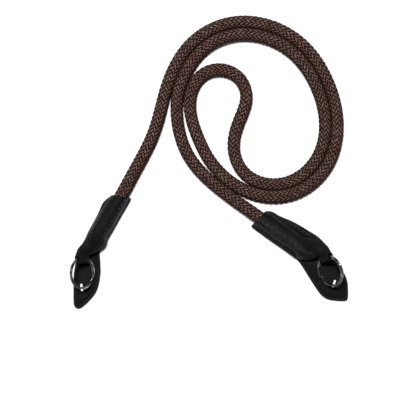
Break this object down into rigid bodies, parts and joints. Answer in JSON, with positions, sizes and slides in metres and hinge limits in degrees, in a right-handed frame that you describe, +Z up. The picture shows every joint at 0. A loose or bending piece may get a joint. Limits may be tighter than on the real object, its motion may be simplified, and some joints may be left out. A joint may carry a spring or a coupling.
{
  "type": "camera neck strap",
  "caption": "Braided rope neck strap laid in a flat double spiral, with leather end sleeves, split rings and guard pads with a lug slot.",
  "frame": {"origin": "on the surface the strap lies on, under the middle of its two ends: sleeves, rings and pads, without the rope", "axes": "+Z up from the surface, +X from the left end to the right end, +Y from the rings towards the coil of rope"},
  "size_m": [0.1718, 0.1818, 0.0177],
  "materials": {
    "braid": "tight diamond braid, dark maroon brown with paler tan flecks",
    "leather": "black grained leather, matte, stitched in black",
    "steel": "polished nickel plate on spring steel"
  },
  "bodies": {
    "strap": {"rope": "braid", "sleeve_left": "leather", "sleeve_right": "leather", "pad_left": "leather", "pad_right": "leather"},
    "ring_left": {"ring_left": "steel"},
    "ring_right": {"ring_right": "steel"}
  },
  "joints": [
    {"name": "ring_left_swing", "type": "hinge", "parent": "strap", "child": "ring_left", "pos_m": [-0.0788, -0.0039, 0.00985], "axis": [-0.6691, 0, 0.7431], "range_deg": [0, 125]},
    {"name": "ring_right_swing", "type": "hinge", "parent": "strap", "child": "ring_right", "pos_m": [0.0714, -0.0031, 0.00985], "axis": [-0.6327, -0.2178, -0.7431], "range_deg": [0, 95]}
  ]
}
